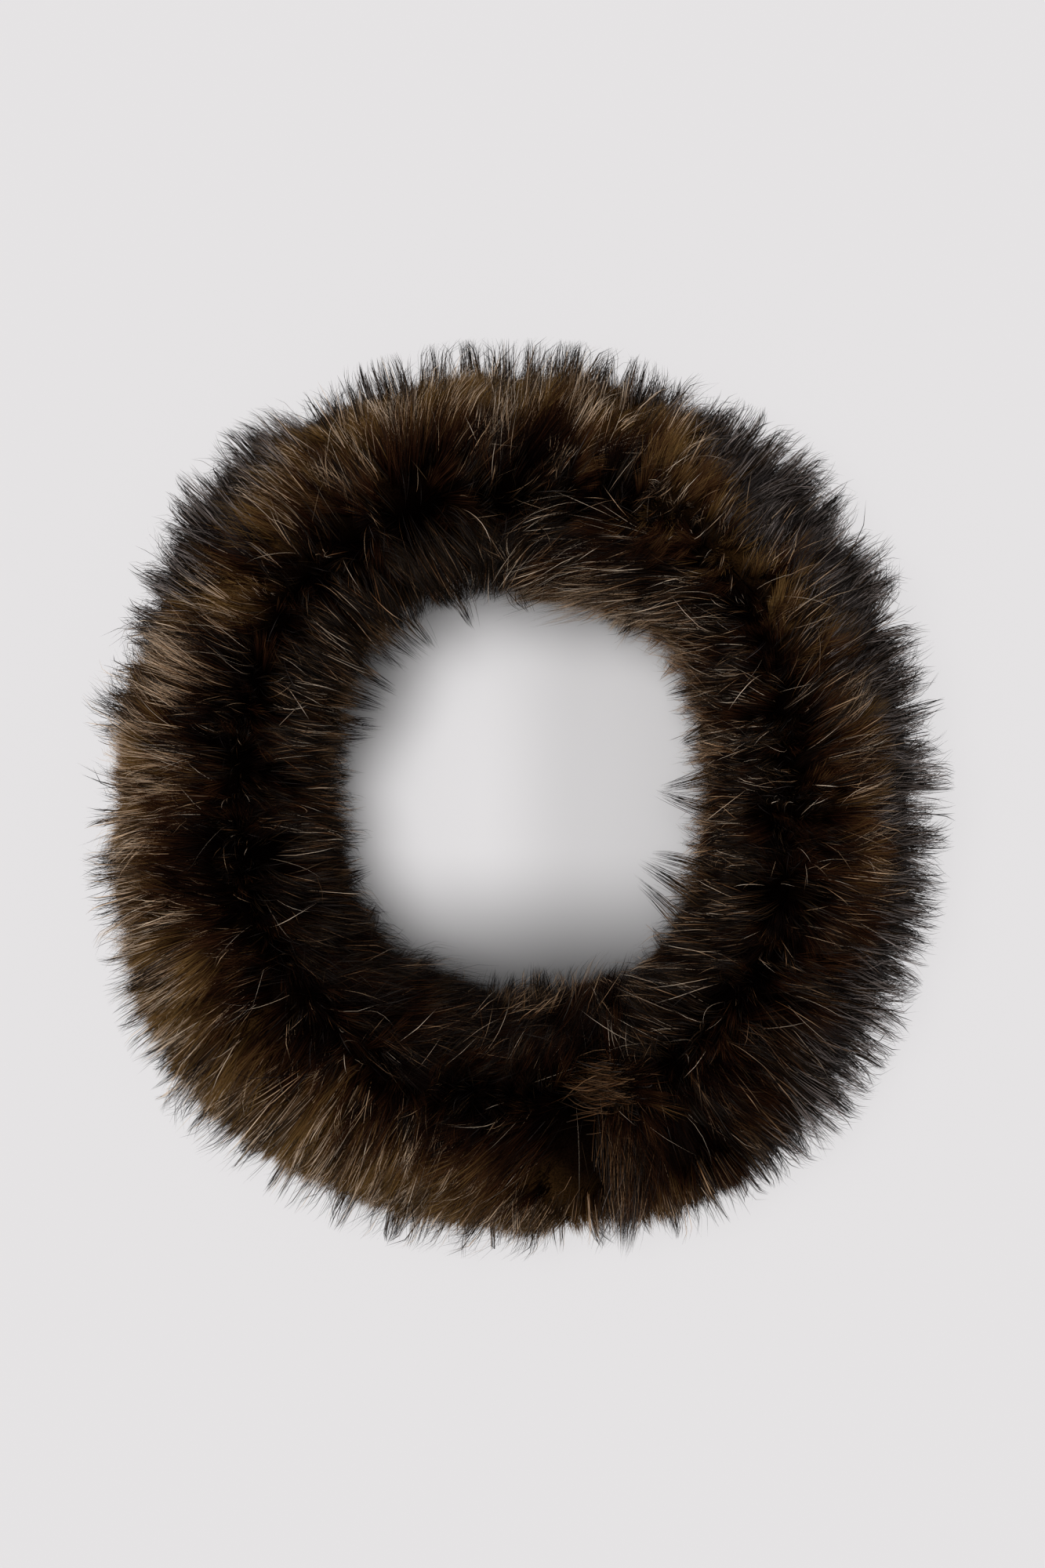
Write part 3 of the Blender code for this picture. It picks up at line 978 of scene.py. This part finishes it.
class COLLAR_OT_packed_underfur(bpy.types.Operator):
    """Fill the depth of the pile with packed underfur"""

    bl_idname = "collar.packed_underfur"
    bl_label = "Packed underfur"

    def execute(self, context):
        material = packed_underfur()
        rng = np.random.default_rng(12)
        for name, source in (("outer_packing", OUTER_PILE), ("neck_packing", NECK_PILE)):
            shape = merged_copy(source)
            bmesh.ops.subdivide_edges(shape, edges=shape.edges[:], cuts=1, use_grid_fill=True)
            azimuth, turn, depth = coat_places(shape)
            fullness = underfur_reach(azimuth, turn) * by_turn(turn, "full")
            fullness *= 1 + 0.06 * LUMPS(azimuth, turn)
            moved = COAT.point(azimuth, turn, np.clip(depth, 0.02, 1) * fullness)
            pushed = pushed_ends(shape)
            for vertex, place in zip(shape.verts, moved):
                vertex.co = Vector(place) + pushed.get(vertex.index, Vector())
            mesh = finished(shape, name)
            # The hair over a place is rooted further up, so it is the colour of that root, with
            # the painted light and shade that the root's hair has.
            root = turn + np.radians(14) * np.cos(turn)
            shade = 0.25 + 0.7 * np.clip(gilded_and_shaded(azimuth, root), 0, 1)
            shade = np.where(under_the_skirt(rng, azimuth, turn + 0.35), 0.08, shade)
            layer = mesh.attributes.new("shade", "FLOAT", "POINT")
            layer.data.foreach_set("value", shade.astype(np.float32))
            piece = show(mesh, material)
            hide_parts(source)
        return {"FINISHED"}


def show_hair(name, rng, points, width, shade, turn, material):
    """Makes three pieces of the hair, sorted from the neck side to the outer side."""
    for number, part in enumerate(np.array_split(np.argsort(np.cos(turn)), 3)):
        mesh = hair_mesh(f"{name}_{number + 1}", rng, points[part], width[part], shade[part])
        show(mesh, material)


class COLLAR_OT_underfur(bpy.types.Operator):
    """Grow the short fine underfur"""

    bl_idname = "collar.underfur"
    bl_label = "Underfur"

    def execute(self, context):
        settings = context.scene.collar
        rng = np.random.default_rng(21)
        azimuth, turn = scatter(rng, settings.underfur_hairs)
        count = len(azimuth)
        reach = underfur_reach(azimuth, turn)
        reach *= 0.8 + 0.2 * rng.random(count) ** 0.5
        points, lock, tuft = grow(rng, UNDERFUR, azimuth, turn, reach)
        # The hair's shade carries the painted light and shade of where it is rooted, with random
        # tone by hair, lock and tuft
        gold = gilded_and_shaded(azimuth, turn) + 0.14 * rng.normal(0, 1, count)
        gold += 0.1 * shared(rng.standard_normal, lock)
        gold += 0.14 * shared(rng.standard_normal, tuft)
        shade = 0.24 + 0.72 * np.clip(gold, 0, 1)
        grey = under_the_skirt(rng, azimuth, turn)
        shade = np.where(grey, rng.uniform(0.02, 0.16, count), shade)
        width = np.full(count, settings.underfur_width)
        show_hair("underfur", rng, points, width, shade, turn, modacrylic_underfur())
        return {"FINISHED"}


def guard_roots(rng, count):
    """Azimuths and turns of the guard hair, which is sparser along the top seam."""
    azimuth, turn = scatter(rng, round(1.12 * count))
    sparse = 0.45 + 0.55 * smooth_step(np.abs(np.cos(turn)), 0.1, 0.5)
    kept = np.flatnonzero(rng.random(len(turn)) < sparse)[:count]
    return azimuth[kept], turn[kept]


def guard_reach(rng, azimuth, turn):
    """How far each guard hair stands, as a share of the pile's depth, and which hairs stand out
    past the body of the coat."""
    count = len(azimuth)
    body = across_sides(azimuth, turn, "body", "hole")
    longest = over_the_seam(turn, by_azimuth(azimuth, "tips"), body + NECK_OVER)
    fringe = over_the_seam(turn, by_azimuth(azimuth, "fringe"), NECK_FRINGE)
    group = nearest_lock(np.random.default_rng(32), azimuth, turn, 6 * MM)[2]
    chance = 0.8 * shared(rng.random, group) + 0.2 * rng.random(count)
    on_top = np.sin(turn) > 0.6
    stands_out = (chance < fringe) & ~on_top
    reach = body * rng.uniform(0.84, 1.03, count)
    past = 0.05 + 0.95 * rng.random(count) ** 1.3
    reach = np.where(stands_out, body + (longest - body) * past, reach)
    return np.where(on_top, rng.uniform(0.78, 1.0, count), reach), stands_out


def guard_shades(rng, azimuth, turn, lock, tuft, stands_out):
    """The shade of each guard hair: tan and brown where the coat is golden, black between and in
    the partings, which paints their shade, now and then silver as a painted glint, and black or
    grey at the edge and under the skirt."""
    count, neck = len(azimuth), neck_side(turn)
    gold = gilded_and_shaded(azimuth, turn)
    # The tone paints light and shade round the ring as well as the dye's own variety
    tone_and_light = across_sides(azimuth, turn, "outer_tone", "neck_tone")
    # Painted shade: less tan in the partings, and on top, where the hair stands up and one looks
    # into its depth
    tone_and_light *= 1 - ROOT_SHADOW * parting_shade(azimuth, turn)
    tone_and_light *= 0.35 + 0.65 * smooth_step(np.abs(np.cos(turn)), 0.15, 0.5)
    by_tuft = 0.6 * shared(rng.random, tuft) + 0.4 * shared(rng.random, lock)
    chance = rng.random(count)
    # Tan hairs are partly painted highlights, and silver ones painted glints
    tan = (0.04 + 0.8 * gold) * tone_and_light * (0.1 + 1.8 * by_tuft)
    black = 0.92 - 0.62 * (gold * tone_and_light).clip(0, 1)
    shade = np.where(chance < tan, 0.62 + 0.22 * gold, 0.56)
    shade += 0.04 * rng.normal(0, 1, count)
    shade = np.clip(shade, 0.5, 0.97)
    shade = np.where(chance > 1 - black, rng.uniform(0.2, 0.25, count), shade)
    silver = rng.random(count) < 0.02 * tone_and_light * (1 + neck)
    shade = np.where(silver, SILVER_GLINT, shade)
    inked = stands_out & (neck < 0.5) & (rng.random(count) < 0.85)
    shade = np.where(inked, rng.uniform(0.2, 0.3, count), shade)
    wisp = np.where(rng.random(count) < 0.5 * tone_and_light, 0.62, 0.2)
    wisp += (wisp * 0.2) * rng.random(count)
    shade = np.where(stands_out & (neck >= 0.5), wisp, shade)
    grey = under_the_skirt(rng, azimuth, turn)
    return np.where(grey, rng.choice((0.05, 0.1, BLACK, BLACK, 0.24), count), shade)


class COLLAR_OT_guard_hair(bpy.types.Operator):
    """Grow the long guard hair, in locks"""

    bl_idname = "collar.guard_hair"
    bl_label = "Guard hair"

    def execute(self, context):
        settings = context.scene.collar
        rng = np.random.default_rng(31)
        azimuth, turn = guard_roots(rng, settings.guard_hairs)
        reach, stands_out = guard_reach(rng, azimuth, turn)
        points, lock, tuft = grow(rng, GUARD_HAIR, azimuth, turn, reach)
        shade = guard_shades(rng, azimuth, turn, lock, tuft, stands_out)
        # Hair that stands out at the edge is drawn wider, so that it shows against the floor.
        rim = stands_out & (neck_side(turn) < 0.5)
        width = settings.guard_width * np.where(rim, 1.6, 1)
        show_hair("guard_hair", rng, points, width, shade, turn, modacrylic_guard_hair())
        return {"FINISHED"}


class COLLAR_OT_strays(bpy.types.Operator):
    """Add the loose hairs on top, and the tufts at the join and in the neck hole"""

    bl_idname = "collar.strays"
    bl_label = "Strays and tufts"

    def execute(self, context):
        rng = np.random.default_rng(41)
        material = modacrylic_guard_hair()

        count = context.scene.collar.loose_hairs
        azimuth = rng.uniform(0, TAU, count)
        turn = np.radians(rng.normal(92, 24, count))
        points = grow(rng, LOOSE_HAIR, azimuth, turn, rng.uniform(0.95, 1.15, count))[0]
        # The pale loose hairs, tan and silver, are partly painted highlights
        pale = rng.random(count) < 0.08 + 0.16 * by_azimuth(azimuth, "neck_tone")
        shade = np.where(pale, rng.choice((TAN_AND_HIGHLIGHT, SILVER_GLINT), count), BLACK)
        shade += rng.normal(0, SHADE_NOISE, count)
        show(hair_mesh("loose_hair", rng, points, LOOSE_WIDTH, shade), material)

        tufts, shades = [], []
        for root, tip, distance in HOLE_TUFTS:
            count = int(rng.integers(*HOLE_HAIRS))
            height = rng.uniform(*HOLE_HEIGHTS) * MM
            end = COAT.spot(math.radians(tip), distance * MM, height)
            start = Root(root, rng.uniform(*HOLE_TURNS), 0.75, 90 * MM)
            tufts.append(standing_tuft(rng, count, start, end, 3 * MM, 0.5, 2 * MM))
            shades.append(rng.uniform(0.2, 0.3, count))
        for tuft in JOIN_TUFTS:
            bearing, out = math.radians(tuft.tip_azimuth), tuft.tip_out * MM
            end = COAT.spot(bearing, out, tuft.tip_height * MM)
            start = Root(tuft.azimuth, tuft.turn, 0.7, 180 * MM)
            spread, arch = tuft.spread * MM, tuft.arch * MM
            tufts.append(standing_tuft(rng, tuft.hairs, start, end, spread, tuft.fan, arch))
            shade = rng.choice(tuft.shades, tuft.hairs)
            shades.append(shade + rng.normal(0, SHADE_NOISE, tuft.hairs))
        points, shade = np.concatenate(tufts), np.concatenate(shades)
        show(hair_mesh("standing_tufts", rng, points, TUFT_WIDTH, shade), material)
        return {"FINISHED"}


class COLLAR_OT_stage(bpy.types.Operator):
    """Set the pale floor, the soft light and the camera straight above"""

    bl_idname = "collar.stage"
    bl_label = "Stage"

    def execute(self, context):
        scene = context.scene
        shape = bmesh.new()
        bmesh.ops.create_grid(shape, x_segments=1, y_segments=1, size=FLOOR_REACH)
        floor = placed("floor", finished(shape, "floor"))
        floor.data.materials.append(lit_board(scene.collar.floor_colour))

        world = bpy.data.worlds.new("studio")
        world.use_nodes = True
        background = world.node_tree.nodes["Background"]
        background.inputs["Color"].default_value = (1, 1, 1, 1)
        background.inputs["Strength"].default_value = ROOM_STRENGTH
        scene.world = world

        lamp = placed("key", bpy.data.lights.new("key", "SUN"))
        lamp.data.energy = LAMP_POWER
        lamp.data.angle = math.radians(LAMP_SPREAD)
        lamp.rotation_euler = (0, math.radians(LAMP_TILT), math.radians(LAMP_BEARING))

        camera = placed("camera", bpy.data.cameras.new("camera"))
        camera.data.lens = LENS
        camera.data.sensor_width = SENSOR_WIDTH
        camera.location = CAMERA_PLACE
        scene.camera = camera
        scene.view_settings.view_transform = "Standard"
        return {"FINISHED"}


class COLLAR_PT_panel(bpy.types.Panel):
    bl_idname = "COLLAR_PT_panel"
    bl_label = "Fur collar"
    bl_space_type = "VIEW_3D"
    bl_region_type = "UI"
    bl_category = "Fur collar"

    def draw(self, context):
        settings = context.scene.collar
        for name in CollarSettings.__annotations__:
            self.layout.prop(settings, name)
        for operator in OPERATORS:
            self.layout.operator(operator.bl_idname)


OPERATORS = (
    COLLAR_OT_stage,
    COLLAR_OT_cloth,
    COLLAR_OT_packed_underfur,
    COLLAR_OT_underfur,
    COLLAR_OT_guard_hair,
    COLLAR_OT_strays,
)
CLASSES = (CollarSettings, *OPERATORS, COLLAR_PT_panel)


def register():
    for kind in CLASSES:
        bpy.utils.register_class(kind)
    bpy.types.Scene.collar = PointerProperty(type=CollarSettings)


def unregister():
    del bpy.types.Scene.collar
    for kind in reversed(CLASSES):
        bpy.utils.unregister_class(kind)


def main():
    register()
    bpy.ops.collar.stage()
    bpy.ops.collar.cloth()
    bpy.ops.collar.packed_underfur()
    bpy.ops.collar.underfur()
    bpy.ops.collar.guard_hair()
    bpy.ops.collar.strays()


if __name__ == "__main__":
    main()
